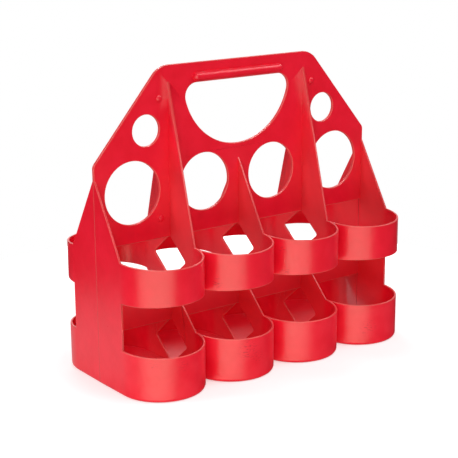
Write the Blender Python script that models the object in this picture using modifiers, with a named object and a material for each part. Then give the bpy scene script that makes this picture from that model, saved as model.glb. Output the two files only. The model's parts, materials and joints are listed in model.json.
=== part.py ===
"""Bottle carrier for eight bottles, moulded in red plastic.

Two equal half shells stand back to back and are held by four domed rivets. Each half has an
upright web with a hand hole, five upright walls, four rings that steady the bottles' shoulders
and four cups that carry their bases. The length runs along X, the seam between the halves is
the plane y = 0, and the carrier stands on z = 0. All lengths are in metres.
"""

import math

import bmesh
import bpy
from mathutils import Vector

# Driving sizes of the pockets and walls
POCKETS = 4
POCKET_PITCH = 0.0950
WALL = 0.0022
WEB_THICK = 0.0018
FLOOR_THICK = 0.0022
STRAIGHT_DEPTH = 0.0479      # seam plane to where a ring or cup starts to curve
FIT_GAP = 0.0003             # left between solids that touch on the real carrier

# Heights, from the ground up
CUP_HEIGHT = 0.0515
RING_SPACING = 0.0522        # cup rim to the lower edge of the ring above it
RING_HEIGHT = 0.0446
WINDOW_LIP = 0.0031          # how far a window in the web passes the rim beside it
LARGE_HOLE_RISE = 0.0591     # ring rim to the centres of the large holes
SHOULDER_RISE = 0.0943       # ring rim to the web's outer shoulders
HAND_HOLE_RISE = 0.0385      # centres of the large holes to the bottom of the hand hole
HAND_BAR = 0.0222            # web left above the hand hole

# Draft, by which the curved bands get lower towards the front, so that they leave the mould
RING_RIM_DRAFT = math.radians(3.5)
RING_FOOT_DRAFT = math.radians(2.4)
CUP_RIM_DRAFT = math.radians(2.3)

# Web outline and its holes
TOP_CORNER_OFFSET = 0.0111   # tall divider to the web's top corner
TOP_CORNER_RADIUS = 0.0240
SHOULDER_RADIUS = 0.0070
OUTER_HOLE_RADIUS = 0.0350
INNER_HOLE_RADIUS = 0.0329
OUTER_HOLE_SHIFT = 0.0007    # outer large holes, outwards from their pockets' middles
SMALL_HOLE_RADIUS = 0.0173
SMALL_HOLE_OFFSET = 0.0295   # tall divider to the centre of a small hole
SMALL_HOLE_RISE = 0.0661     # above the centres of the large holes
HAND_HOLE_RADIUS = 0.0743
HAND_HOLE_CUT = 0.0007       # its straight top, below the centre of its half circle
HAND_HOLE_CORNER = 0.0149

# Grip ridge above the hand hole
RIDGE_RADIUS = 0.0051
RIDGE_HALF_LENGTH = 0.0572   # middle to the centre of a round end
RIDGE_RISE = 0.0063          # hand hole's top to the ridge's centre line

# Upright walls
TALL_APEX_DROP = 0.0180      # below the web's top edge
MIDDLE_APEX_DROP = 0.0170    # below the hand hole
END_APEX_DROP = 0.0160       # below the web's shoulder
NOTCH_DEPTH = 0.0311         # seam plane to the tip of a window in a divider
NOTCH_RADIUS = 0.0030

# Rivets
RIVET_SHANK_RADIUS = 0.0020
RIVET_HEAD_RADIUS = 0.0039
RIVET_HEAD_HEIGHT = 0.0021
RIVET_OFFSET = 0.0122        # tall divider to the rivet
UPPER_RIVET_DROP = 0.0353    # below the web's top edge
LOWER_RIVET_RISE = 0.0259    # above the ring rims

# How finely round shapes are cut
RING_STEPS = 28
HOLE_STEPS = 40
CORNER_STEPS = 6
TURNED_STEPS = 16
DOME_STEPS = 4
CUT_OVERRUN = 0.0100         # how far a cutter passes what it cuts

# Sizes that follow, across
half_length = POCKETS * POCKET_PITCH / 2
outer_face = half_length + WALL / 2
inner_face = half_length - WALL / 2
seam = FIT_GAP / 2
weld_distance = FIT_GAP / 10
web_face = seam + WEB_THICK
wall_root = web_face + FIT_GAP
ring_outer = POCKET_PITCH / 2 + WALL / 2
ring_inner = POCKET_PITCH / 2 - WALL / 2
pocket_side = POCKET_PITCH / 2 - seam
pocket_centres = [POCKET_PITCH * (index + 0.5) - half_length for index in range(POCKETS)]
top_corner = POCKET_PITCH + TOP_CORNER_OFFSET
small_hole_x = POCKET_PITCH + SMALL_HOLE_OFFSET
rivet_x = POCKET_PITCH + RIVET_OFFSET

# Sizes that follow, upwards
wall_foot = FLOOR_THICK + FIT_GAP
cup_window_top = CUP_HEIGHT + WINDOW_LIP
ring_bottom = CUP_HEIGHT + RING_SPACING
ring_top = ring_bottom + RING_HEIGHT
ring_window_top = ring_top + WINDOW_LIP
large_hole_height = ring_top + LARGE_HOLE_RISE
small_hole_height = large_hole_height + SMALL_HOLE_RISE
shoulder_height = ring_top + SHOULDER_RISE
hand_hole_bottom = large_hole_height + HAND_HOLE_RISE
hand_hole_centre = hand_hole_bottom + HAND_HOLE_RADIUS
hand_hole_top = hand_hole_centre - HAND_HOLE_CUT
total_height = hand_hole_top + HAND_BAR
rivet_heights = {"lower": ring_top + LOWER_RIVET_RISE, "upper": total_height - UPPER_RIVET_DROP}

# Turns that stand a flat drawing up: in the web's plane, and across the carrier
FACING_Y = (math.pi / 2, 0, 0)
FACING_X = (math.pi / 2, 0, math.pi / 2)
LYING_FLAT = (0, 0, 0)


def clear_scene():
    for item in list(bpy.data.objects):
        bpy.data.objects.remove(item, do_unlink=True)


def make_collection(name):
    group = bpy.data.collections.new(name)
    bpy.context.scene.collection.children.link(group)
    return group


def make_empty(name, group, parent=None):
    empty = bpy.data.objects.new(name, None)
    empty.parent = parent
    group.objects.link(empty)
    return empty


def red_plastic(name, colour, roughness):
    material = bpy.data.materials.new(name)
    material.use_nodes = True
    shader = material.node_tree.nodes["Principled BSDF"]
    shader.inputs["Base Color"].default_value = (*colour, 1.0)
    shader.inputs["Roughness"].default_value = roughness
    shader.inputs["Metallic"].default_value = 0.0
    return material


def place(name, mesh, group, parent, location=(0, 0, 0), turn=LYING_FLAT, material=None):
    piece = bpy.data.objects.new(name, mesh)
    piece.parent = parent
    piece.location = location
    piece.rotation_euler = turn
    group.objects.link(piece)
    if material and not mesh.materials:
        mesh.materials.append(material)
    return piece


def hide_cutter(cutter):
    cutter.hide_render = True
    cutter.display_type = "WIRE"
    return cutter


def add_boolean(piece, cutter, operation, solver="EXACT"):
    """Cuts live. The cups need the manifold solver, as the exact one leaves an edge open there."""
    boolean = piece.modifiers.new(cutter.name, "BOOLEAN")
    boolean.operation = operation
    boolean.solver = solver
    boolean.object = cutter


def arc(centre, radius, start, end, steps):
    """Points on an arc from one angle to another, both ends included."""
    angles = [start + (end - start) * step / steps for step in range(steps + 1)]
    return [(centre[0] + radius * math.cos(a), centre[1] + radius * math.sin(a)) for a in angles]


def circle(centre, radius):
    return arc(centre, radius, 0, 2 * math.pi, HOLE_STEPS)[:-1]


def rounded(corners):
    """A closed outline from (x, y, radius) corners, where a radius of 0 stays sharp."""
    points = []
    for index, (x, y, radius) in enumerate(corners):
        here = Vector((x, y))
        if not radius:
            points.append((x, y))
            continue
        back = (Vector(corners[index - 1][:2]) - here).normalized()
        ahead = (Vector(corners[(index + 1) % len(corners)][:2]) - here).normalized()
        half_angle = back.angle(ahead) / 2
        centre = here + (back + ahead).normalized() * radius / math.sin(half_angle)
        spoke = here + back * radius / math.tan(half_angle) - centre
        start = math.atan2(spoke.y, spoke.x)
        turn = math.copysign(math.pi - 2 * half_angle, back.cross(ahead)) * -1
        points += arc(centre, radius, start, start + turn, CORNER_STEPS)
    return points


def plate_mesh(name, outline, holes, thickness):
    """A flat plate drawn in its own XY plane, half its thickness on either side."""
    drawing = bpy.data.curves.new(name, "CURVE")
    drawing.dimensions = "2D"
    drawing.fill_mode = "BOTH"
    drawing.extrude = thickness / 2
    for loop in [outline, *holes]:
        spline = drawing.splines.new("POLY")
        spline.points.add(len(loop) - 1)
        for point, (x, y) in zip(spline.points, loop):
            point.co = (x, y, 0, 1)
        spline.use_cyclic_u = True
    curve = bpy.data.objects.new(name, drawing)
    bpy.context.scene.collection.objects.link(curve)
    evaluated = curve.evaluated_get(bpy.context.evaluated_depsgraph_get())
    mesh = bpy.data.meshes.new_from_object(evaluated)
    bpy.data.objects.remove(curve, do_unlink=True)
    mesh.name = name
    weld_mesh(mesh)
    return mesh


def weld_mesh(mesh):
    """Joins a curve's loose caps to its sides."""
    shape = bmesh.new()
    shape.from_mesh(mesh)
    bmesh.ops.remove_doubles(shape, verts=shape.verts, dist=weld_distance)
    shape.to_mesh(mesh)
    shape.free()


def draft_mesh(mesh, rim_draft, foot_draft):
    """Slopes a band's upper face down and its lower face up, towards the front."""
    shape = bmesh.new()
    shape.from_mesh(mesh)
    for corner in shape.verts:
        slope = math.tan(rim_draft) if corner.co.z > 0 else -math.tan(foot_draft)
        corner.co.z += slope * corner.co.y
    shape.to_mesh(mesh)
    shape.free()


def turned_mesh(name, profile):
    """An open profile, from its top pole to its bottom pole, for a Screw modifier."""
    mesh = bpy.data.meshes.new(name)
    edges = [(index, index + 1) for index in range(len(profile) - 1)]
    mesh.from_pydata([(radius, 0, height) for radius, height in profile], edges, [])
    return mesh


def add_screw(piece):
    screw = piece.modifiers.new("turn", "SCREW")
    screw.steps = TURNED_STEPS
    screw.render_steps = TURNED_STEPS
    screw.use_merge_vertices = True
    screw.merge_threshold = weld_distance
    screw.use_smooth_shade = True


# The web: one plate outline, cut into three bays at the tall dividers

def hand_hole_outline():
    """A half circle below a straight top, with its two upper corners rounded."""
    corner_height = hand_hole_top - HAND_HOLE_CORNER
    sink = hand_hole_centre - corner_height
    corner_x = math.sqrt((HAND_HOLE_RADIUS - HAND_HOLE_CORNER) ** 2 - sink ** 2)
    dip = math.asin(sink / (HAND_HOLE_RADIUS - HAND_HOLE_CORNER))
    right = arc((corner_x, corner_height), HAND_HOLE_CORNER, math.pi / 2, -dip, CORNER_STEPS)
    bowl = arc((0, hand_hole_centre), HAND_HOLE_RADIUS, -dip, dip - math.pi, HOLE_STEPS)
    left = [(-x, y) for x, y in reversed(right)]
    return right + bowl[1:-1] + left


def web_outline():
    return rounded([
        (outer_face, ring_window_top, 0),
        (outer_face, shoulder_height, SHOULDER_RADIUS),
        (top_corner, total_height, TOP_CORNER_RADIUS),
        (-top_corner, total_height, TOP_CORNER_RADIUS),
        (-outer_face, shoulder_height, SHOULDER_RADIUS),
        (-outer_face, ring_window_top, 0),
    ])


def web_holes():
    holes = [hand_hole_outline()]
    for x in pocket_centres:
        if abs(x) > POCKET_PITCH:
            shifted = x + math.copysign(OUTER_HOLE_SHIFT, x)
            holes.append(circle((shifted, large_hole_height), OUTER_HOLE_RADIUS))
        else:
            holes.append(circle((x, large_hole_height), INNER_HOLE_RADIUS))
    for side in (-1, 1):
        holes.append(circle((side * small_hole_x, small_hole_height), SMALL_HOLE_RADIUS))
        for height in rivet_heights.values():
            centre = (side * rivet_x, height)
            holes.append(arc(centre, RIVET_SHANK_RADIUS + FIT_GAP, 0, 2 * math.pi, TURNED_STEPS)[:-1])
    return holes


def make_bay_cutters(half, parent, group):
    """Three blocks that pick a bay of the web each, and that end short of the walls' roots."""
    spans = {
        "left": (-outer_face - CUT_OVERRUN, -POCKET_PITCH - seam),
        "centre": (-POCKET_PITCH + seam, POCKET_PITCH - seam),
        "right": (POCKET_PITCH + seam, outer_face + CUT_OVERRUN),
    }
    depth = wall_root + CUT_OVERRUN
    height = total_height + 2 * CUT_OVERRUN
    cutters = {}
    for bay, (start, end) in spans.items():
        mesh = bpy.data.meshes.new(f"{half}_{bay}_bay")
        block = bmesh.new()
        bmesh.ops.create_cube(block, size=1)
        bmesh.ops.scale(block, verts=block.verts, vec=(end - start, depth, height))
        block.to_mesh(mesh)
        block.free()
        middle = ((start + end) / 2, depth / 2 - wall_root, total_height / 2)
        cutters[bay] = hide_cutter(place(f"{half}_{bay}_bay", mesh, group, parent, middle))
    return cutters


def make_web(half, parent, group, cutters, meshes, material):
    location = (0, -(seam + WEB_THICK / 2), 0)
    for bay, cutter in cutters.items():
        panel = place(f"{half}_web_{bay}", meshes["web"], group, parent, location, FACING_Y, material)
        add_boolean(panel, cutter, "INTERSECT")
    place(f"{half}_web_rail", meshes["rail"], group, parent, location, FACING_Y, material)


def make_ridge(half, parent, group, cutters, meshes, material):
    """A round bar with round ends, of which the web leaves the front half."""
    location = (0, -wall_root, hand_hole_top + RIDGE_RISE)
    along_x = (0, math.pi / 2, 0)
    ridge = place(f"{half}_grip_ridge", meshes["ridge"], group, parent, location, along_x, material)
    add_screw(ridge)
    add_boolean(ridge, cutters["centre"], "DIFFERENCE")


def ridge_profile():
    top = arc((0, RIDGE_HALF_LENGTH), RIDGE_RADIUS, math.pi / 2, 0, DOME_STEPS)
    top[0] = (0, RIDGE_HALF_LENGTH + RIDGE_RADIUS)
    return top + [(radius, -height) for radius, height in reversed(top)]


# The upright walls, drawn as depth from the seam plane against height

def divider_outline(apex_height):
    ring_notch = (ring_bottom + ring_window_top) / 2
    cup_notch = (wall_foot + cup_window_top) / 2
    front_notch = (CUP_HEIGHT + ring_bottom) / 2
    front_notch_tip = RING_SPACING / 2 - STRAIGHT_DEPTH
    return rounded([
        (-wall_root, wall_foot, 0),
        (-STRAIGHT_DEPTH, wall_foot, 0),
        (-STRAIGHT_DEPTH, CUP_HEIGHT, 0),
        (front_notch_tip, front_notch, NOTCH_RADIUS),
        (-STRAIGHT_DEPTH, ring_bottom, 0),
        (-STRAIGHT_DEPTH, ring_top, 0),
        (-wall_root, apex_height, 0),
        (-wall_root, ring_window_top, 0),
        (-NOTCH_DEPTH, ring_notch, NOTCH_RADIUS),
        (-wall_root, ring_bottom, 0),
        (-wall_root, cup_window_top, 0),
        (-NOTCH_DEPTH, cup_notch, NOTCH_RADIUS),
    ])


def end_wall_outline():
    under_web = ring_window_top - FIT_GAP
    return [
        (-seam, 0),
        (-STRAIGHT_DEPTH, 0),
        (-STRAIGHT_DEPTH, ring_top),
        (-wall_root, shoulder_height - END_APEX_DROP),
        (-wall_root, under_web),
        (-seam, under_web),
    ]


def make_walls(half, parent, group, meshes, material):
    dividers = {"left": (-1, "tall"), "centre": (0, "middle"), "right": (1, "tall")}
    for side, (step, kind) in dividers.items():
        location = (step * POCKET_PITCH, 0, 0)
        place(f"{half}_divider_{side}", meshes[kind], group, parent, location, FACING_X, material)
    for side, step in (("left", -1), ("right", 1)):
        location = (step * half_length, 0, 0)
        place(f"{half}_end_wall_{side}", meshes["end_wall"], group, parent, location, FACING_X, material)


# Rings and cups, drawn from above round the point where their curve starts

def curved_side(left_limit, right_limit):
    """The outer curve from right to left, cut off where a neighbour's solid begins."""
    slip = math.asin(FIT_GAP / ring_outer)
    start = max(slip, math.acos(right_limit / ring_outer))
    end = max(slip, math.acos(left_limit / ring_outer))
    return arc((0, 0), ring_outer, -start, end - math.pi, RING_STEPS)


def inner_curve(centre_x=0, start_depth=FIT_GAP):
    slip = math.asin(start_depth / ring_inner)
    return arc((centre_x, 0), ring_inner, slip - math.pi, -slip, RING_STEPS)


def side_limits(index):
    left = ring_outer if index == 0 else pocket_side
    right = ring_outer if index == POCKETS - 1 else pocket_side
    return left, right


def ring_outline(index):
    left, right = side_limits(index)
    outline = curved_side(left, right) + inner_curve()
    if right == pocket_side:
        outline.insert(0, (right, -FIT_GAP))
    if left == pocket_side:
        outline.insert(len(outline) - RING_STEPS - 1, (-left, -FIT_GAP))
    return outline


def cup_outline(index):
    left, right = side_limits(index)
    floor_left = min(left, ring_inner - FIT_GAP) if index == 0 else left
    floor_right = min(right, ring_inner - FIT_GAP) if index == POCKETS - 1 else right
    back = STRAIGHT_DEPTH - seam
    outline = [(floor_right, back), (floor_right, -FIT_GAP)]
    outline += curved_side(left, right)
    outline += [(-floor_left, -FIT_GAP), (-floor_left, back)]
    return outline


def pocket_cut_outline():
    """The open inside of all four cups, from over the seam to the inner curves."""
    reach = outer_face + CUT_OVERRUN
    back = STRAIGHT_DEPTH + CUT_OVERRUN
    front = FIT_GAP + seam
    outline = [(reach, back), (-reach, back), (-reach, -front)]
    for x in pocket_centres:
        outline += inner_curve(x, front)
    outline.append((reach, -front))
    return outline


def make_pockets(half, parent, group, cutter_group, meshes, material):
    cut_height = FLOOR_THICK + (CUP_HEIGHT + CUT_OVERRUN - FLOOR_THICK) / 2
    cutter = place(f"{half}_pocket_cut", meshes["pocket_cut"], cutter_group, parent,
                   (0, -STRAIGHT_DEPTH, cut_height))
    hide_cutter(cutter)
    for index, x in enumerate(pocket_centres):
        number = index + 1
        ring_place = (x, -STRAIGHT_DEPTH, ring_bottom + RING_HEIGHT / 2)
        place(f"{half}_ring_{number}", meshes[f"ring_{number}"], group, parent, ring_place,
              material=material)
        cup_place = (x, -STRAIGHT_DEPTH, CUP_HEIGHT / 2)
        cup = place(f"{half}_cup_{number}", meshes[f"cup_{number}"], group, parent, cup_place,
                    material=material)
        add_boolean(cup, cutter, "DIFFERENCE", solver="MANIFOLD")


# Rivets: one shank through both webs, with a dome on either side

def rivet_profile():
    dome = []
    for step in range(DOME_STEPS + 1):
        angle = math.pi / 2 * step / DOME_STEPS
        height = wall_root + RIVET_HEAD_HEIGHT * math.cos(angle)
        dome.append((RIVET_HEAD_RADIUS * math.sin(angle), height))
    shank = [(RIVET_SHANK_RADIUS, wall_root), (RIVET_SHANK_RADIUS, -wall_root)]
    return dome + shank + [(radius, -height) for radius, height in reversed(dome)]


def make_rivets(parent, group, material):
    mesh = turned_mesh("rivet", rivet_profile())
    for level, height in rivet_heights.items():
        for side, step in (("left", -1), ("right", 1)):
            location = (step * rivet_x, 0, height)
            rivet = place(f"rivet_{level}_{side}", mesh, group, parent, location, FACING_Y, material)
            add_screw(rivet)


def draw_half_meshes():
    """The meshes that both halves share."""
    rail = [(-inner_face + FIT_GAP, cup_window_top), (inner_face - FIT_GAP, cup_window_top),
            (inner_face - FIT_GAP, ring_bottom), (-inner_face + FIT_GAP, ring_bottom)]
    meshes = {
        "web": plate_mesh("web", web_outline(), web_holes(), WEB_THICK),
        "rail": plate_mesh("rail", rail, [], WEB_THICK),
        "ridge": turned_mesh("ridge", ridge_profile()),
        "tall": plate_mesh("tall_divider", divider_outline(total_height - TALL_APEX_DROP), [], WALL),
        "middle": plate_mesh("middle_divider", divider_outline(hand_hole_bottom - MIDDLE_APEX_DROP),
                             [], WALL),
        "end_wall": plate_mesh("end_wall", end_wall_outline(), [], WALL),
        "pocket_cut": plate_mesh("pocket_cut", pocket_cut_outline(), [],
                                 CUP_HEIGHT + CUT_OVERRUN - FLOOR_THICK),
    }
    for index in range(POCKETS):
        number = index + 1
        meshes[f"ring_{number}"] = plate_mesh(f"ring_{number}", ring_outline(index), [], RING_HEIGHT)
        draft_mesh(meshes[f"ring_{number}"], RING_RIM_DRAFT, RING_FOOT_DRAFT)
        meshes[f"cup_{number}"] = plate_mesh(f"cup_{number}", cup_outline(index), [], CUP_HEIGHT)
        draft_mesh(meshes[f"cup_{number}"], CUP_RIM_DRAFT, 0)
    return meshes


def main():
    clear_scene()
    parts = make_collection("bottle_carrier")
    cutters = make_collection("bottle_carrier_cutters")
    carrier = make_empty("carrier", parts)
    materials = {
        "web": red_plastic("web_red", (0.72, 0.004, 0.024), 0.42),
        "walls": red_plastic("wall_red", (0.74, 0.010, 0.030), 0.42),
        "pockets": red_plastic("pocket_red", (0.76, 0.014, 0.030), 0.45),
        "ridge": red_plastic("ridge_red", (0.74, 0.008, 0.026), 0.38),
        "rivets": red_plastic("rivet_red", (0.70, 0.004, 0.022), 0.35),
    }
    meshes = draw_half_meshes()
    for half, turn in (("front", 0), ("back", math.pi)):
        shell = make_empty(f"{half}_half", parts, carrier)
        shell.rotation_euler = (0, 0, turn)
        bays = make_bay_cutters(half, shell, cutters)
        make_web(half, shell, parts, bays, meshes, materials["web"])
        make_ridge(half, shell, parts, bays, meshes, materials["ridge"])
        make_walls(half, shell, parts, meshes, materials["walls"])
        make_pockets(half, shell, parts, cutters, meshes, materials["pockets"])
    make_rivets(carrier, parts, materials["rivets"])
    bpy.context.view_layer.update()


main()
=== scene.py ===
"""A carrier for eight bottles, moulded in red plastic: two equal half shells, back to back,
held by four domed rivets. The length runs along X, the seam is y = 0 and the ground z = 0.
All lengths are in metres."""

import json
import math

import bmesh
import bpy
from mathutils import Matrix, Vector

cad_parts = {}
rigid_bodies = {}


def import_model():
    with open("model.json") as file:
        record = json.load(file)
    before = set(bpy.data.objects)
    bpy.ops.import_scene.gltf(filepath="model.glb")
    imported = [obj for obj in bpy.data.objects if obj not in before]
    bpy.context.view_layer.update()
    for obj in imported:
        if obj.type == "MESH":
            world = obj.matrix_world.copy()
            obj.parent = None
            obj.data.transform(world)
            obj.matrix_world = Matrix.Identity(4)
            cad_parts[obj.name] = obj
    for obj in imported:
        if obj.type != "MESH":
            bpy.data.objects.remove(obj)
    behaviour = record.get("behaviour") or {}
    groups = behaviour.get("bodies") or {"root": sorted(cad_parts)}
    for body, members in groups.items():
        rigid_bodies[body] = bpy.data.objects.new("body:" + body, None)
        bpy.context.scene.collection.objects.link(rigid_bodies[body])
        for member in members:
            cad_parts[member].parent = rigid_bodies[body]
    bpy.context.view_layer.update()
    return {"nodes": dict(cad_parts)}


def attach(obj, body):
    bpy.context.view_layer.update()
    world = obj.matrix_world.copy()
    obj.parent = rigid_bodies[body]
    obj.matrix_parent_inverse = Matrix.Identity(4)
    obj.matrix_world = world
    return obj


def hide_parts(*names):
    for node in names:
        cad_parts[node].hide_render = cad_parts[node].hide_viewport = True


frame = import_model()


# Camera
# It stands low, to the left of the front, and looks at the carrier through a long lens.

CAMERA_LEFT = math.radians(36.900)
CAMERA_UP = math.radians(14.961)
CAMERA_DISTANCE = 1.43048
CAMERA_TARGET = Vector((-0.01289, 0, 0.14578))
CAMERA_LENS = 97.724
CAMERA_ROLL = math.radians(-0.348)
CAMERA_NEAR = 0.1
CAMERA_FAR = 30.0

towards_camera = Vector((
    -math.sin(CAMERA_LEFT) * math.cos(CAMERA_UP),
    -math.cos(CAMERA_LEFT) * math.cos(CAMERA_UP),
    math.sin(CAMERA_UP),
))
camera = bpy.data.objects.new("camera", bpy.data.cameras.new("camera"))
bpy.context.scene.collection.objects.link(camera)
camera.location = CAMERA_TARGET + towards_camera * CAMERA_DISTANCE
level = (-towards_camera).to_track_quat("-Z", "Y").to_matrix()
camera.rotation_euler = (level @ Matrix.Rotation(CAMERA_ROLL, 3, "Z")).to_euler()
camera.data.lens = CAMERA_LENS
camera.data.clip_start = CAMERA_NEAR
camera.data.clip_end = CAMERA_FAR
bpy.context.scene.camera = camera


# Web
# The upright plate that the whole half hangs on, 1.8 mm thick, moulded in one with the rest.
# It is drawn flat, thickened and stood up with its back at the seam. Its holes come later.

WEB_THICKNESS = 0.0018
SEAM_GAP = 0.00002
HALF_LENGTH = 0.1911
WEB_FOOT = 0.1514
SHOULDER_HEIGHT = 0.2426
SHOULDER_ROUNDING = 0.0026
TOP_HEIGHT = 0.3417
TOP_HALF_LENGTH = 0.1061
TOP_ROUNDING = 0.0110
CORNER_SEGMENTS = 12
GRID_DIGITS = 6

half_forms = bpy.data.collections.new("half_forms")
half_punches = bpy.data.collections.new("half_punches")
for group in (half_forms, half_punches):
    bpy.context.scene.collection.children.link(group)


def draw_loop(corners):
    """A new drawing with one flat face through these corners."""
    drawing = bmesh.new()
    drawing.faces.new([drawing.verts.new((x, y, 0)) for x, y in corners])
    drawing.verts.ensure_lookup_table()
    return drawing


def round_corners(drawing, corners, reach):
    bmesh.ops.bevel(drawing, geom=corners, affect="VERTICES", offset=reach, offset_type="OFFSET",
                    segments=CORNER_SEGMENTS, profile=0.5, material=-1)


def thicken(drawing, depth):
    """Gives a flat drawing its thickness, upwards from the drawing's plane."""
    grown = bmesh.ops.extrude_face_region(drawing, geom=drawing.faces[:])
    lifted = [item for item in grown["geom"] if isinstance(item, bmesh.types.BMVert)]
    bmesh.ops.translate(drawing, verts=lifted, vec=(0, 0, depth))


def stand_up(drawing, front):
    """Turns a thick drawing upright, with its lower face at the depth called front."""
    turn = Matrix.Rotation(math.pi / 2, 3, "X")
    bmesh.ops.rotate(drawing, verts=drawing.verts, cent=(0, 0, 0), matrix=turn)
    bmesh.ops.translate(drawing, verts=drawing.verts, vec=(0, front, 0))


def keep_form(name, drawing, group):
    """Keeps a drawing as a solid object, its corners on whole micrometres, so that flush
    faces of two forms meet exactly."""
    for corner in drawing.verts:
        corner.co = [round(value, GRID_DIGITS) for value in corner.co]
    bmesh.ops.recalc_face_normals(drawing, faces=drawing.faces)
    mesh = bpy.data.meshes.new(name)
    drawing.to_mesh(mesh)
    drawing.free()
    form = bpy.data.objects.new(name, mesh)
    group.objects.link(form)
    return form


web = draw_loop([
    (HALF_LENGTH, WEB_FOOT),
    (HALF_LENGTH, SHOULDER_HEIGHT),
    (TOP_HALF_LENGTH, TOP_HEIGHT),
    (-TOP_HALF_LENGTH, TOP_HEIGHT),
    (-HALF_LENGTH, SHOULDER_HEIGHT),
    (-HALF_LENGTH, WEB_FOOT),
])
shoulders = [corner for corner in web.verts if corner.co.y == web.verts[1].co.y]
top_corners = [corner for corner in web.verts if corner.co.y == web.verts[2].co.y]
round_corners(web, shoulders, SHOULDER_ROUNDING)
round_corners(web, [corner for corner in top_corners if corner.is_valid], TOP_ROUNDING)
thicken(web, WEB_THICKNESS)
stand_up(web, -SEAM_GAP)
half_shell = keep_form("half_shell", web, bpy.context.scene.collection)


# Round holes in the web
# One large hole above each pocket, the two inner ones a little smaller, and a small hole in
# each upper corner. The moulding tool leaves them with plain edges.

POCKETS = 4
POCKET_PITCH = 0.0950
LARGE_HOLE_HEIGHT = 0.2074
OUTER_HOLE_RADIUS = 0.0350
INNER_HOLE_RADIUS = 0.0329
OUTER_HOLE_SHIFT = 0.0007
SMALL_HOLE_HEIGHT = 0.2735
SMALL_HOLE_RADIUS = 0.0173
SMALL_HOLE_X = 0.1245
HOLE_SEGMENTS = 96
PUNCH_DEPTH = 0.02

pocket_centres = [POCKET_PITCH * (index - (POCKETS - 1) / 2) for index in range(POCKETS)]


def punch_round(name, x, height, radius):
    drawing = bmesh.new()
    bmesh.ops.create_circle(drawing, cap_ends=True, radius=radius, segments=HOLE_SEGMENTS)
    bmesh.ops.translate(drawing, verts=drawing.verts, vec=(x, height, 0))
    thicken(drawing, PUNCH_DEPTH)
    stand_up(drawing, PUNCH_DEPTH / 2)
    keep_form(name, drawing, half_punches)


for x in pocket_centres:
    if abs(x) > POCKET_PITCH:
        shifted = x + math.copysign(OUTER_HOLE_SHIFT, x)
        punch_round("outer_hole", shifted, LARGE_HOLE_HEIGHT, OUTER_HOLE_RADIUS)
    else:
        punch_round("inner_hole", x, LARGE_HOLE_HEIGHT, INNER_HOLE_RADIUS)
for x in (-SMALL_HOLE_X, SMALL_HOLE_X):
    punch_round("small_hole", x, SMALL_HOLE_HEIGHT, SMALL_HOLE_RADIUS)


# Hand hole
# A half circle under a straight top edge, with two rounded corners, wide enough for a hand.

HAND_HOLE_RADIUS = 0.0743
HAND_HOLE_CENTRE = 0.3202
HAND_HOLE_TOP = 0.3195
HAND_HOLE_CORNER = 0.0149


def swing(drawing, start, centre, turn, segments):
    """Swings a corner round a centre, drawing an arc, and returns where it ends."""
    swept = bmesh.ops.spin(drawing, geom=[start], cent=(*centre, 0), axis=(0, 0, 1), angle=turn,
                           steps=segments, use_duplicate=False)
    return next(item for item in swept["geom_last"] if isinstance(item, bmesh.types.BMVert))


corner_centre_height = HAND_HOLE_TOP - HAND_HOLE_CORNER
corner_drop = HAND_HOLE_CENTRE - corner_centre_height
corner_reach = HAND_HOLE_RADIUS - HAND_HOLE_CORNER
corner_centre_x = math.sqrt(corner_reach ** 2 - corner_drop ** 2)
corner_dip = math.asin(corner_drop / corner_reach)

hand_hole = bmesh.new()
first = hand_hole.verts.new((corner_centre_x, HAND_HOLE_TOP, 0))
last = swing(hand_hole, first, (corner_centre_x, corner_centre_height),
             -math.pi / 2 - corner_dip, CORNER_SEGMENTS)
last = swing(hand_hole, last, (0, HAND_HOLE_CENTRE), 2 * corner_dip - math.pi, HOLE_SEGMENTS)
last = swing(hand_hole, last, (-corner_centre_x, corner_centre_height),
             -math.pi / 2 - corner_dip, CORNER_SEGMENTS)
hand_hole.edges.new((last, first))
bmesh.ops.contextual_create(hand_hole, geom=hand_hole.edges[:])
thicken(hand_hole, PUNCH_DEPTH)
stand_up(hand_hole, PUNCH_DEPTH / 2)
keep_form("hand_hole", hand_hole, half_punches)


# Rail
# The strip of web left between the ring windows and the cup windows. It ties the walls
# together between the two rows of bands.

RAIL_FOOT = 0.0546
RAIL_TOP = 0.1037

rail = draw_loop([
    (-HALF_LENGTH, RAIL_FOOT),
    (HALF_LENGTH, RAIL_FOOT),
    (HALF_LENGTH, RAIL_TOP),
    (-HALF_LENGTH, RAIL_TOP),
])
thicken(rail, WEB_THICKNESS)
stand_up(rail, -SEAM_GAP)
keep_form("rail", rail, half_forms)


# Dividers
# Three upright walls between the pockets, 2.2 mm thick. Each slopes up to a point on the web,
# has a notch in front between the bands and two windows against the web, and runs a little
# way into the web and the floor, so that they join.

WALL_THICKNESS = 0.0022
WALL_DEPTH = 0.0479
WALL_SINK = 0.0005
FLOOR_THICKNESS = 0.0022
CUP_HEIGHT = 0.0515
RING_FOOT = 0.1037
RING_TOP = 0.1483
TALL_POINT = 0.3237
MIDDLE_POINT = 0.2289
NOTCH_REACH = 0.0311
FRONT_NOTCH_REACH = 0.0218
NOTCH_ROUNDING = 0.0033
NOTCH_TIPS = (3, 10, 15)

web_front = SEAM_GAP + WEB_THICKNESS
web_middle = SEAM_GAP + WEB_THICKNESS / 2


def stand_across(drawing, x):
    """Turns a drawing of depth against height upright across the carrier, centred on x."""
    bmesh.ops.translate(drawing, verts=drawing.verts, vec=(0, 0, -WALL_THICKNESS / 2))
    turn = Matrix.Rotation(math.pi / 2, 3, "Z") @ Matrix.Rotation(math.pi / 2, 3, "X")
    bmesh.ops.rotate(drawing, verts=drawing.verts, cent=(0, 0, 0), matrix=turn)
    bmesh.ops.translate(drawing, verts=drawing.verts, vec=(x, 0, 0))


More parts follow.
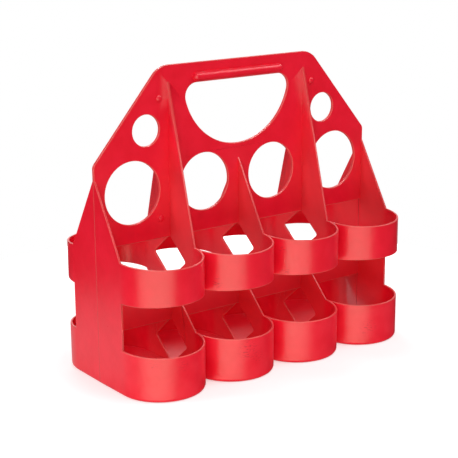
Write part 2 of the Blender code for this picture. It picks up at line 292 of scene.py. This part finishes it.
def make_divider(name, x, point_height):
    """The corners at NOTCH_TIPS are the tips of the notch and the windows."""
    ring_notch = (RING_FOOT + WEB_FOOT) / 2
    cup_notch = (FLOOR_THICKNESS + RAIL_FOOT) / 2
    front_notch = (CUP_HEIGHT + RING_FOOT) / 2
    divider = draw_loop([
        (-SEAM_GAP, FLOOR_THICKNESS - WALL_SINK),
        (-WALL_DEPTH, FLOOR_THICKNESS - WALL_SINK),
        (-WALL_DEPTH, CUP_HEIGHT),
        (-FRONT_NOTCH_REACH, front_notch),
        (-WALL_DEPTH, RING_FOOT),
        (-WALL_DEPTH, RING_TOP),
        (-web_front, point_height),
        (-web_middle, point_height),
        (-web_middle, WEB_FOOT + WALL_SINK),
        (-web_front, WEB_FOOT),
        (-NOTCH_REACH, ring_notch),
        (-web_front, RING_FOOT),
        (-web_middle, RING_FOOT - WALL_SINK),
        (-web_middle, RAIL_FOOT + WALL_SINK),
        (-web_front, RAIL_FOOT),
        (-NOTCH_REACH, cup_notch),
    ])
    round_corners(divider, [divider.verts[index] for index in NOTCH_TIPS], NOTCH_ROUNDING)
    thicken(divider, WALL_THICKNESS)
    stand_across(divider, x)
    keep_form(name, divider, half_forms)


make_divider("divider_left", -POCKET_PITCH, TALL_POINT)
make_divider("divider_centre", 0, MIDDLE_POINT)
make_divider("divider_right", POCKET_PITCH, TALL_POINT)


# End walls
# The closed sides of the carrier, as thick as the dividers, from the ground up to a point
# below the web's shoulders. They carry the ends of the rings and cups.

END_POINT = 0.2266
END_WALL_X = 0.1900


def make_end_wall(name, x):
    wall = draw_loop([
        (-SEAM_GAP, 0),
        (-WALL_DEPTH, 0),
        (-WALL_DEPTH, RING_TOP),
        (-web_front, END_POINT),
        (-SEAM_GAP, END_POINT),
    ])
    thicken(wall, WALL_THICKNESS)
    stand_across(wall, x)
    keep_form(name, wall, half_forms)


make_end_wall("end_wall_left", -END_WALL_X)
make_end_wall("end_wall_right", END_WALL_X)


# Rings and cups
# Two rows of four half-round bands, run together at the dividers. The upper ones steady the
# bottles, and the lower ones are closed below by the floor that the bottles stand on.

BAND_OUTER = 0.0486
BAND_INNER = 0.0464
BAND_SEGMENTS = 72
BAND_SINK = 0.0010
RING_RIM_DRAFT = math.radians(3.5)
RING_FOOT_DRAFT = math.radians(2.4)
CUP_RIM_DRAFT = math.radians(2.3)


def run_on(drawing, last, corners):
    """Draws on from the last corner in straight lines, and returns the new last one."""
    for x, y in corners:
        corner = drawing.verts.new((x, y, 0))
        drawing.edges.new((last, corner))
        last = corner
    return last


def draw_band(with_inside):
    """The bands from above: the outer curves, and either the inner ones or a straight back."""
    drawing = bmesh.new()
    groove = math.acos(POCKET_PITCH / 2 / BAND_OUTER)
    first = drawing.verts.new((-HALF_LENGTH, -WALL_DEPTH, 0))
    last = first
    for index, x in enumerate(pocket_centres):
        start = math.pi if index == 0 else math.pi + groove
        end = 2 * math.pi if index == POCKETS - 1 else 2 * math.pi - groove
        last = swing(drawing, last, (x, -WALL_DEPTH), end - start, BAND_SEGMENTS)
    if with_inside:
        sunk = BAND_SINK - WALL_DEPTH
        for x in reversed(pocket_centres):
            inner_side = x + BAND_INNER
            last = run_on(drawing, last, [(inner_side + WALL_THICKNESS, sunk), (inner_side, sunk),
                                          (inner_side, -WALL_DEPTH)])
            last = swing(drawing, last, (x, -WALL_DEPTH), -math.pi, BAND_SEGMENTS)
        last = run_on(drawing, last, [(-HALF_LENGTH + WALL_THICKNESS, sunk), (-HALF_LENGTH, sunk)])
    else:
        last = run_on(drawing, last, [(HALF_LENGTH, -SEAM_GAP), (-HALF_LENGTH, -SEAM_GAP)])
    drawing.edges.new((last, first))
    bmesh.ops.contextual_create(drawing, geom=drawing.edges[:])
    return drawing


def keep_band(name, drawing, foot, rim, foot_draft, rim_draft):
    """Stands a band between two heights, its rim falling and its foot rising to the front."""
    thicken(drawing, rim - foot)
    for corner in drawing.verts:
        reach = -WALL_DEPTH - corner.co.y
        if corner.co.z > 0:
            corner.co.z -= reach * math.tan(rim_draft)
        else:
            corner.co.z += reach * math.tan(foot_draft)
    bmesh.ops.translate(drawing, verts=drawing.verts, vec=(0, 0, foot))
    keep_form(name, drawing, half_forms)


keep_band("rings", draw_band(True), RING_FOOT, RING_TOP, RING_FOOT_DRAFT, RING_RIM_DRAFT)
keep_band("cups", draw_band(True), 0, CUP_HEIGHT, 0, CUP_RIM_DRAFT)
keep_band("floor_of_cups", draw_band(False), 0, FLOOR_THICKNESS, 0, 0)


# Grip ridge
# A half-round bead with round ends above the hand hole, which stiffens the top edge and
# fills the fingers.

RIDGE_RADIUS = 0.0051
RIDGE_REACH = 0.0572
RIDGE_HEIGHT = 0.3258
RIDGE_DEPTH = 0.00225
RIDGE_SEGMENTS = 12

ridge = bmesh.new()
first = ridge.verts.new((RIDGE_REACH + RIDGE_RADIUS, 0, 0))
last = swing(ridge, first, (RIDGE_REACH, 0), math.pi / 2, RIDGE_SEGMENTS)
straight_end = ridge.verts.new((-RIDGE_REACH, RIDGE_RADIUS, 0))
ridge.edges.new((last, straight_end))
swing(ridge, straight_end, (-RIDGE_REACH, 0), math.pi / 2, RIDGE_SEGMENTS)
bmesh.ops.spin(ridge, geom=ridge.verts[:] + ridge.edges[:], cent=(0, 0, 0), axis=(1, 0, 0),
               angle=2 * math.pi, steps=4 * RIDGE_SEGMENTS, use_merge=True, use_duplicate=False)
bmesh.ops.remove_doubles(ridge, verts=ridge.verts, dist=SEAM_GAP / 2)
bmesh.ops.translate(ridge, verts=ridge.verts, vec=(0, -RIDGE_DEPTH, RIDGE_HEIGHT))
cut = bmesh.ops.bisect_plane(ridge, geom=ridge.verts[:] + ridge.edges[:] + ridge.faces[:],
                             plane_co=(0, -web_middle, 0), plane_no=(0, 1, 0), clear_outer=True)
rim = [item for item in cut["geom_cut"] if isinstance(item, bmesh.types.BMEdge)]
bmesh.ops.contextual_create(ridge, geom=rim)
keep_form("ridge", ridge, half_forms)


# Half shells
# The forms above come out of one mould as one skin of satin red polypropylene, with every
# edge slightly broken. The same moulding, turned round, makes the back half.

EDGE_ROUNDING = 0.0007
EDGE_SEGMENTS = 3
EDGE_SLOT = 1
SEAM_SHARE = 0.8
BASE_ROUNDING = 0.0036
BASE_SEGMENTS = 6
EDGE_ANGLE = math.radians(28)
FACING_DOWN = -0.5
DEPTH_AXIS = 1
HEIGHT_AXIS = 2
WELD = 0.00001


def combine(form, operation, group):
    for other in group.objects:
        cut = form.modifiers.new(other.name, "BOOLEAN")
        cut.operation = operation
        cut.object = other
        cut.solver = "MANIFOLD"


def lies_on(edge, axis, level):
    return all(abs(corner.co[axis] - level) < WELD for corner in edge.verts)


combine(half_shell, "DIFFERENCE", half_punches)
combine(half_shell, "UNION", half_forms)
bpy.context.view_layer.update()
joined = bpy.data.meshes.new_from_object(
    half_shell.evaluated_get(bpy.context.evaluated_depsgraph_get()))
skin = bmesh.new()
skin.from_mesh(joined)
bmesh.ops.remove_doubles(skin, verts=skin.verts, dist=WELD)

base_seams = [edge for edge in skin.edges if lies_on(edge, HEIGHT_AXIS, 0)
              and all(face.normal.z < FACING_DOWN for face in edge.link_faces)]
bmesh.ops.dissolve_edges(skin, edges=base_seams, use_verts=True, use_face_split=False)
base_edges = [edge for edge in skin.edges if edge.calc_face_angle_signed() > EDGE_ANGLE
              and lies_on(edge, HEIGHT_AXIS, 0) and not lies_on(edge, DEPTH_AXIS, -SEAM_GAP)]
bmesh.ops.bevel(skin, geom=base_edges, affect="EDGES", offset=BASE_ROUNDING,
                offset_type="OFFSET", segments=BASE_SEGMENTS, profile=0.5, material=-1)
rounded = skin.edges.layers.float.new("bevel_weight_edge")
for edge in skin.edges:
    turn = edge.calc_face_angle_signed()
    if turn > EDGE_ANGLE:
        edge[rounded] = SEAM_SHARE if lies_on(edge, DEPTH_AXIS, -SEAM_GAP) else 1.0
    edge.smooth = turn > -EDGE_ANGLE
skin.to_mesh(joined)
skin.free()
for group in (half_forms, half_punches):
    for form in list(group.objects):
        bpy.data.objects.remove(form, do_unlink=True)
    bpy.data.collections.remove(group)
bpy.data.objects.remove(half_shell, do_unlink=True)

MIX_SHARE = 0
MIX_FIRST = 6
MIX_SECOND = 7
MIX_COLOUR = 2


class Finish:
    """A socket of a material. Sums written with it become Math nodes."""

    def __init__(self, tree, socket=None):
        self.tree = tree
        self.socket = socket

    def node(self, kind, settings, values, output=0):
        made = self.tree.nodes.new("ShaderNode" + kind)
        for name, setting in settings.items():
            setattr(made, name, setting)
        for name, value in values.items():
            if isinstance(value, Finish):
                self.tree.links.new(value.socket, made.inputs[name])
            else:
                made.inputs[name].default_value = value
        return Finish(self.tree, made.outputs[output])

    def other(self, output):
        """Another output of the same node."""
        return Finish(self.tree, self.socket.node.outputs[output])

    def ease(self, low, high, at_low=0.0, at_high=1.0):
        """Runs softly from one value at low to another at high."""
        return self.node("MapRange", {"interpolation_type": "SMOOTHSTEP"},
                         {"Value": self, "From Min": low, "From Max": high,
                          "To Min": at_low, "To Max": at_high})

    def stretch(self, factors):
        return self.node("VectorMath", {"operation": "MULTIPLY"}, {0: self, 1: factors})

    def distance(self, centre):
        return self.node("VectorMath", {"operation": "DISTANCE"}, {0: self, 1: centre}, "Value")

    def noise(self, detail, scale=1.0):
        """Soft noise over this place."""
        return self.node("TexNoise", {}, {"Vector": self, "Scale": scale, "Detail": detail})

    def mix(self, share, first, second):
        """The first colour, and the second by its share."""
        return self.node("Mix", {"data_type": "RGBA"},
                         {MIX_SHARE: share, MIX_FIRST: first, MIX_SECOND: second}, MIX_COLOUR)

    def ray_kinds(self):
        """Whether the camera looks at a point, and whether gloss or a clear piece does."""
        from_camera = self.node("LightPath", {}, {}, "Is Camera Ray")
        mirrored = from_camera.other("Is Glossy Ray") + from_camera.other("Is Transmission Ray")
        return from_camera, mirrored

    def sum(self, operation, first, second):
        return self.node("Math", {"operation": operation}, {0: first, 1: second})

    def __add__(self, other):
        return self.sum("ADD", self, other)

    def __radd__(self, other):
        return self.sum("ADD", other, self)

    def __sub__(self, other):
        return self.sum("SUBTRACT", self, other)

    def __rsub__(self, other):
        return self.sum("SUBTRACT", other, self)

    def __mul__(self, other):
        return self.sum("MULTIPLY", self, other)

    def __rmul__(self, other):
        return self.sum("MULTIPLY", other, self)


PLASTIC_GLOSS = 0.75
CLOUD_SCALE = 16.0
CLOUD_DETAIL = 5.0
CLOUD_SHARE = 0.6
CLOUD_ROUGHNESS = 0.04
MOTTLE_SCALE = 60.0
MOTTLE_DETAIL = 2.0
MOTTLE_SHARE = 0.4
MOTTLE_ROUGHNESS = 0.08
TINT_FROM = 0.35
TINT_TO = 0.65
DEEP_TINT = (0.93, 1.0, 0.85)
FRESH_TINT = (1.03, 1.5, 1.2)
STREAK_STRETCH = (22.0, 22.0, 420.0)
STREAK_DETAIL = 3.0
STREAK_ROUGHNESS = 0.02
GRAIN_SCALE = 800.0
GRAIN_DETAIL = 2.0
GRAIN_DEPTH = 0.00009
RIPPLE_SCALE = 150.0
RIPPLE_DETAIL = 3.0
RIPPLE_DEPTH = 0.00020
# Painted light takes a paler red and a little more roughness; scuffs, and the painted shade in the
# seam, take a deeper red.
PAINTED_LIGHT_RED = (0.86, 0.066, 0.075, 1.0)
PAINTED_LIGHT_ROUGHNESS = 0.12
SCUFF_AND_SHADE_RED = (0.62, 0.002, 0.020, 1.0)
SCUFF_AND_SHADE_ROUGHNESS = 0.30


def tinted(colour, tint):
    return (*(part * share for part, share in zip(colour, tint)), 1.0)


def red_plastic(name, colour, roughness, wear_and_painted_light=None):
    """Moulded red, clouded and mottled a little, with a fine grain, shallow ripples and the
    level streaks of the mould's polish. The wear function, if given, marks where painted
    light makes it paler, and where scuffs or painted shade make it darker."""
    material = bpy.data.materials.new(name)
    material.use_nodes = True
    tree = material.node_tree
    shader = tree.nodes["Principled BSDF"]
    shader.inputs["Specular IOR Level"].default_value = PLASTIC_GLOSS
    start = Finish(tree)
    place = start.node("TexCoord", {}, {}, "Object")
    cloud = place.noise(CLOUD_DETAIL, CLOUD_SCALE)
    grain = place.noise(GRAIN_DETAIL, GRAIN_SCALE)
    ripple = place.noise(RIPPLE_DETAIL, RIPPLE_SCALE)
    mottle = place.noise(MOTTLE_DETAIL, MOTTLE_SCALE)
    streaks = place.stretch(STREAK_STRETCH).noise(STREAK_DETAIL)
    clouded = cloud.ease(TINT_FROM, TINT_TO) * CLOUD_SHARE
    blend = clouded + mottle.ease(TINT_FROM, TINT_TO) * MOTTLE_SHARE
    tint = start.mix(blend, tinted(colour, DEEP_TINT), tinted(colour, FRESH_TINT))
    mean_added = (CLOUD_ROUGHNESS + STREAK_ROUGHNESS + MOTTLE_ROUGHNESS) / 2
    rough = cloud * CLOUD_ROUGHNESS + streaks * STREAK_ROUGHNESS + mottle * MOTTLE_ROUGHNESS
    rough = rough + (roughness - mean_added)
    relief = grain * GRAIN_DEPTH + ripple * RIPPLE_DEPTH
    if wear_and_painted_light:
        painted_light, darker_marks = wear_and_painted_light(start, place)
        # Painted light pales the red; scuffs and painted shade deepen it.
        tint = start.mix(painted_light, tint, PAINTED_LIGHT_RED)
        tint = start.mix(darker_marks, tint, SCUFF_AND_SHADE_RED)
        rough = rough + painted_light * PAINTED_LIGHT_ROUGHNESS + darker_marks * SCUFF_AND_SHADE_ROUGHNESS
    tree.links.new(tint.socket, shader.inputs["Base Color"])
    tree.links.new(rough.socket, shader.inputs["Roughness"])
    bump = start.node("Bump", {}, {"Strength": 1.0, "Distance": 1.0, "Height": relief})
    tree.links.new(bump.socket, shader.inputs["Normal"])
    return material


# The painted glow beside the dividers: how far it reaches, the heights it fades over and its
# share. Painted light also pales the pockets' insides and the outside near the ground.
CORNER_GLOW_REACH = 0.034
CORNER_GLOW_FROM = 0.16
CORNER_GLOW_TO = 0.28
CORNER_GLOW_SHARE = 0.62
INBOARD_BEFORE = 0.006
INBOARD_PAST = 0.003
POCKET_LIGHT_SHARE = 0.28
WEB_FADE = 0.0054
WEB_SHARE = 0.35
RING_SHARE = 0.35
RING_LIP = 0.010
BOUNCE_PATCH_FROM = 0.3
BOUNCE_PATCH_TO = 0.7
GROUND_BOUNCE_SHARE = 0.12
FLECK_STRETCH = (260.0, 260.0, 700.0)
FLECK_DETAIL = 4.0
FLECK_FROM = 0.50
FLECK_TO = 0.62
SCUFF_CORE = 0.2
SCUFFS = [
    ((-0.0581, -0.0953, 0.0364), 0.016, 0.75),
    ((-0.0465, -0.0965, 0.0259), 0.010, 0.55),
    ((-0.1455, -0.0964, 0.0389), 0.008, 0.60),
    ((-0.1758, -0.0833, 0.0421), 0.007, 0.50),
    ((-0.0868, -0.0764, 0.1140), 0.008, 0.80),
    ((0.0066, -0.0742, 0.1339), 0.007, 0.60),
    ((0.0087, -0.0771, 0.1085), 0.008, 0.60),
    ((0.1226, -0.0930, 0.0219), 0.014, 0.60),
    ((-0.1100, 0.0850, 0.1250), 0.010, 0.60),
    ((0.0500, 0.0965, 0.0300), 0.014, 0.60),
]


def shell_light_and_wear(start, place):
    """Painted light pales the dividers and the web near their corners low down, the pockets'
    insides, and the outside near the ground, in patches. Knocks leave darker flecks. Each
    scuff has a centre, a reach and a share."""
    x = start.node("SeparateXYZ", {}, {"Vector": place})
    across = x.node("Math", {"operation": "ABSOLUTE"}, {0: x})
    depth = x.node("Math", {"operation": "ABSOLUTE"}, {0: x.other("Y")})
    height = x.other("Z")
    from_wall = x.node("Math", {"operation": "PINGPONG"}, {0: across, 1: POCKET_PITCH / 2})
    near_wall = 1 - from_wall.ease(0, CORNER_GLOW_REACH)
    low_down = 1 - height.ease(CORNER_GLOW_FROM, CORNER_GLOW_TO)
    between_ends = 1 - across.ease(END_WALL_X - WALL_THICKNESS / 2, END_WALL_X)
    past_walls = depth.ease(WALL_DEPTH - INBOARD_BEFORE, WALL_DEPTH + INBOARD_PAST)
    inboard = (1 - past_walls) * between_ends
    off_web = depth.ease(WEB_THICKNESS, WEB_FADE) * (1 - WEB_SHARE) + WEB_SHARE
    above_rings = height.ease(RING_FOOT, RING_TOP) * (1 - RING_SHARE) + RING_SHARE
    # Painted glow: paler near the corners of the dividers and the web, low down, where light
    # bounces between the red walls.
    painted_light = near_wall * low_down * above_rings * inboard * off_web * CORNER_GLOW_SHARE
    # Painted light: the pockets' insides below the rings are paler, where shade would fall.
    painted_pocket_light = (1 - height.ease(RING_FOOT, RING_FOOT + RING_LIP)) * inboard * POCKET_LIGHT_SHARE
    marks = place.stretch(FLECK_STRETCH).noise(FLECK_DETAIL).ease(FLECK_FROM, FLECK_TO)
    # Painted bounce light from the floor: the outside is paler near the ground, in patches.
    bounce_patches = place.noise(MOTTLE_DETAIL, MOTTLE_SCALE).ease(BOUNCE_PATCH_FROM, BOUNCE_PATCH_TO)
    ground = (1 - height.ease(0, RING_TOP)) * bounce_patches * (1 - inboard) * GROUND_BOUNCE_SHARE
    darker_marks = 0
    for centre, reach, share in SCUFFS:
        near = 1 - place.distance(centre).ease(reach * SCUFF_CORE, reach)
        darker_marks = darker_marks + near * marks * share
    return painted_light + painted_pocket_light * (1 - painted_light) + ground, darker_marks


# Painted shade in the seam's groove: how far it reaches and how dark it is.
SEAM_SHADE_REACH = 0.0008
SEAM_SHADE_SHARE = 0.8


def seam_painted_shade(start, place):
    """Painted shade darkens the groove where the two halves meet."""
    depth = start.node("SeparateXYZ", {}, {"Vector": place}, "Y")
    away = start.node("Math", {"operation": "ABSOLUTE"}, {0: depth})
    return 0, (1 - away.ease(SEAM_GAP, SEAM_SHADE_REACH)) * SEAM_SHADE_SHARE


SHELL_ROUGHNESS = 0.30
EDGE_ROUGHNESS = 0.36
RED = (0.93, 0.0045, 0.028)
# The broken edges are painted paler than the faces: a painted highlight along them.
EDGE_HIGHLIGHT_RED = (0.86, 0.085, 0.095)

# The shell takes painted light and scuffs; the broken edges take their painted highlight and the
# painted shade of the seam.
shell_red = red_plastic("shell_red", RED, SHELL_ROUGHNESS, shell_light_and_wear)
edge_red = red_plastic("edge_red", EDGE_HIGHLIGHT_RED, EDGE_ROUGHNESS, seam_painted_shade)

for half, turn in (("front", 0), ("back", math.pi)):
    mesh = joined.copy()
    mesh.transform(Matrix.Rotation(turn, 4, "Z"))
    mesh.materials.clear()
    mesh.materials.append(shell_red)
    mesh.materials.append(edge_red)
    shell = bpy.data.objects.new(f"{half}_shell", mesh)
    bpy.context.scene.collection.objects.link(shell)
    mesh.polygons.foreach_set("use_smooth", [True] * len(mesh.polygons))
    rounding = shell.modifiers.new("broken_edges", "BEVEL")
    rounding.width = EDGE_ROUNDING
    rounding.segments = EDGE_SEGMENTS
    rounding.limit_method = "WEIGHT"
    rounding.use_clamp_overlap = False
    rounding.material = EDGE_SLOT
    flat_faces = shell.modifiers.new("flat_faces", "WEIGHTED_NORMAL")
    flat_faces.keep_sharp = True
    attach(shell, "root")
    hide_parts(*[node for node in frame["nodes"] if node.startswith(half + "_")])


# Rivets
# Four plastic rivets hold the halves together: a shank through both webs with a dome on
# either side, pushed down hot.

RIVET_X = 0.1072
RIVET_HEIGHTS = {"lower": 0.1742, "upper": 0.3064}
SHANK_RADIUS = 0.0020
HEAD_RADIUS = 0.0039
HEAD_RISE = 0.0021
RIVET_SEGMENTS = 48
DOME_SEGMENTS = 10
RIVET_ROUGHNESS = 0.34

rivet_red = red_plastic("rivet_red", RED, RIVET_ROUGHNESS)


def make_rivet(name, x, height):
    """Half a dome's outline and half a shank, mirrored, and spun round the middle line."""
    drawing = bmesh.new()
    pole = drawing.verts.new((0, web_front + HEAD_RISE, 0))
    brim = swing(drawing, pole, (0, web_front), -math.pi / 2, DOME_SEGMENTS)
    widen = HEAD_RADIUS / HEAD_RISE
    bmesh.ops.scale(drawing, verts=drawing.verts, vec=(widen, 1, 1))
    neck = drawing.verts.new((SHANK_RADIUS, web_front, 0))
    waist = drawing.verts.new((SHANK_RADIUS, 0, 0))
    drawing.edges.new((brim, neck))
    drawing.edges.new((neck, waist))
    outline = drawing.verts[:] + drawing.edges[:]
    bmesh.ops.mirror(drawing, geom=outline, matrix=Matrix.Identity(4), axis="Y", merge_dist=WELD)
    bmesh.ops.spin(drawing, geom=drawing.verts[:] + drawing.edges[:], cent=(0, 0, 0),
                   axis=(0, 1, 0), angle=2 * math.pi, steps=RIVET_SEGMENTS, use_merge=True,
                   use_duplicate=False)
    bmesh.ops.remove_doubles(drawing, verts=drawing.verts, dist=WELD)
    bmesh.ops.translate(drawing, verts=drawing.verts, vec=(x, 0, height))
    rivet = keep_form(name, drawing, bpy.context.scene.collection)
    rivet.data.polygons.foreach_set("use_smooth", [True] * len(rivet.data.polygons))
    rivet.data.set_sharp_from_angle(angle=EDGE_ANGLE)
    rivet.data.materials.append(rivet_red)
    return rivet


for level, height in RIVET_HEIGHTS.items():
    for side, x in (("left", -RIVET_X), ("right", RIVET_X)):
        rivet = make_rivet(f"domed_rivet_{level}_{side}", x, height)
        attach(rivet, "root")
        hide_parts(f"rivet_{level}_{side}")


# Floor
# A round white table top, which keeps the carrier's soft shadow. Gloss sees it bright behind
# the left end and dim elsewhere.

FLOOR_REACH = 0.45
FLOOR_CENTRE = (0.04, 0.06, 0.0)
FLOOR_SEGMENTS = 96
FLOOR_GREY = (0.8, 0.8, 0.8, 1.0)
FLOOR_ROUGHNESS = 0.9
FLOOR_GLOW = 0.42
POOL_CENTRE = (-0.33, 0.12, 0.0)
POOL_LEVEL = 0.55
POOL_FROM = 0.10
POOL_TO = 0.32
DIM_LEVEL = 0.03
FADE_FROM = 0.25
FADE_TO = 0.44
WHITE = (1.0, 1.0, 1.0, 1.0)

floor_drawing = bmesh.new()
bmesh.ops.create_circle(floor_drawing, cap_ends=True, radius=FLOOR_REACH, segments=FLOOR_SEGMENTS)
bmesh.ops.translate(floor_drawing, verts=floor_drawing.verts, vec=FLOOR_CENTRE)
floor_mesh = bpy.data.meshes.new("floor")
floor_drawing.to_mesh(floor_mesh)
floor_drawing.free()
floor = bpy.data.objects.new("floor", floor_mesh)
bpy.context.scene.collection.objects.link(floor)
floor.visible_shadow = False

white = bpy.data.materials.new("white_floor")
white.use_nodes = True
table = white.node_tree.nodes["Principled BSDF"]
table.inputs["Base Color"].default_value = FLOOR_GREY
table.inputs["Roughness"].default_value = FLOOR_ROUGHNESS
table.inputs["Specular IOR Level"].default_value = 0.0
table.inputs["Emission Color"].default_value = WHITE
start = Finish(white.node_tree)
from_camera, mirrored = start.ray_kinds()
place = start.node("TexCoord", {}, {}, "Object")
fade = place.distance(FLOOR_CENTRE).ease(FADE_FROM, FADE_TO)
glow = from_camera * (fade + (1 - fade) * FLOOR_GLOW)
white.node_tree.links.new(glow.socket, table.inputs["Emission Strength"])
pool = place.distance(POOL_CENTRE).ease(POOL_FROM, POOL_TO, POOL_LEVEL, DIM_LEVEL)
shine = start.node("Emission", {}, {"Strength": pool})
whole = Finish(white.node_tree, table.outputs["BSDF"])
mixed = start.node("MixShader", {}, {0: mirrored, 1: whole, 2: shine})
surface = white.node_tree.nodes["Material Output"].inputs["Surface"]
white.node_tree.links.new(mixed.socket, surface)
floor_mesh.materials.append(white)


# Light
# Six soft lamps hang in a white room: a broad one and a low, wide, warm one in front of the
# left end, one overhead, one on either side and one behind. Gloss sees the room white behind
# the carrier and dim in front of it.

ROOM_LEVEL = 0.21
WHITE_FROM = 0.80
WHITE_TO = 0.95
WARM = (1.0, 0.94, 0.74)
NEUTRAL = (1.0, 1.0, 1.0)
LAMPS = {
    "front_lamp": (45, 22, 1.9, (1.5, 1.1), 9.0, NEUTRAL),
    "low_lamp": (42, -19, 1.8, (3.6, 0.6), 14.5, WARM),
    "top_lamp": (-20, 65, 1.8, (1.2, 1.2), 10.5, NEUTRAL),
    "left_lamp": (115, 35, 1.8, (1.0, 1.0), 10.5, NEUTRAL),
    "right_lamp": (-62, 40, 1.8, (1.0, 0.8), 6.5, NEUTRAL),
    "back_lamp": (200, 40, 1.8, (1.0, 1.0), 10.0, NEUTRAL),
}

world = bpy.data.worlds.new("white_room")
world.use_nodes = True
bpy.context.scene.world = world
room = Finish(world.node_tree)
background = world.node_tree.nodes["Background"]
away = Vector((-towards_camera.x, -towards_camera.y, 0)).normalized()
direction = room.node("TexCoord", {}, {}, "Generated")
facing = room.node("VectorMath", {"operation": "DOT_PRODUCT"}, {0: direction, 1: away}, "Value")
behind = facing.ease(WHITE_FROM, WHITE_TO, DIM_LEVEL)
from_camera, mirrored = room.ray_kinds()
strength = (from_camera * (1 - ROOM_LEVEL) + mirrored * (behind - ROOM_LEVEL)) + ROOM_LEVEL
world.node_tree.links.new(strength.socket, background.inputs["Strength"])
background.inputs["Color"].default_value = WHITE
world.cycles.sampling_method = "NONE"


def hang_lamp(name, degrees_left, degrees_up, distance, size, watts, colour):
    """A soft lamp to the left of the front, aimed at the middle of the carrier."""
    left = math.radians(degrees_left)
    up = math.radians(degrees_up)
    middle = Vector((0, 0, TOP_HEIGHT / 2))
    towards_lamp = Vector((-math.sin(left) * math.cos(up), -math.cos(left) * math.cos(up),
                           math.sin(up)))
    lamp = bpy.data.objects.new(name, bpy.data.lights.new(name, "AREA"))
    bpy.context.scene.collection.objects.link(lamp)
    lamp.location = middle + towards_lamp * distance
    lamp.rotation_euler = (-towards_lamp).to_track_quat("-Z", "Y").to_euler()
    lamp.data.shape = "ELLIPSE"
    lamp.data.size, lamp.data.size_y = size
    lamp.data.energy = watts
    lamp.data.color = colour
    lamp.data.cycles.use_multiple_importance_sampling = False


for name, settings in LAMPS.items():
    hang_lamp(name, *settings)

bpy.context.scene.view_settings.view_transform = "Standard"
